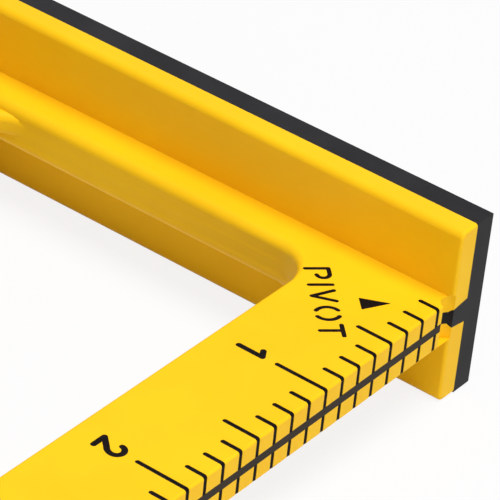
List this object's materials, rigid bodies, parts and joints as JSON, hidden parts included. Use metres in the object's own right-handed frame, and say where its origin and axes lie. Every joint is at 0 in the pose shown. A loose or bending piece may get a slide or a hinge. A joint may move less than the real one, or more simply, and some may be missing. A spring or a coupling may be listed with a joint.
{
  "type": "rafter square",
  "caption": "Seven inch moulded rafter square: triangular blade with inch, degree and rafter scales, T-shaped fence with a black backing, and a scribing bar across its window.",
  "frame": {"origin": "pivot point: ruler-edge side face, fence guide face and middle plane of the blade meet there", "axes": "+X along the fence from the pivot, +Y along the ruler edge, +Z out of the face that carries the pivot label"},
  "size_m": [0.184, 0.1905, 0.0248],
  "materials": {
    "yellow_plastic": "moulded yellow plastic with a fine satin grain",
    "black_backing": "satin black plastic",
    "black_stripe": "satin black plastic, flush with the ruler edge",
    "mark_paint": "dark brown-black paint in moulded grooves"
  },
  "bodies": {
    "root": {"square_body": "yellow_plastic", "fence_backing": "black_backing", "edge_stripe": "black_stripe", "inch_marks_upper": "mark_paint", "inch_marks_under": "mark_paint", "inch_numerals_upper": "mark_paint", "inch_numerals_under": "mark_paint", "degree_marks_upper": "mark_paint", "degree_marks_under": "mark_paint", "degree_numerals_upper": "mark_paint", "degree_numerals_under": "mark_paint", "common_rafter_marks": "mark_paint", "common_rafter_numerals": "mark_paint", "hip_rafter_marks": "mark_paint", "hip_rafter_numerals": "mark_paint", "pivot_label": "mark_paint", "pivot_pointer": "mark_paint"}
  },
  "joints": []
}
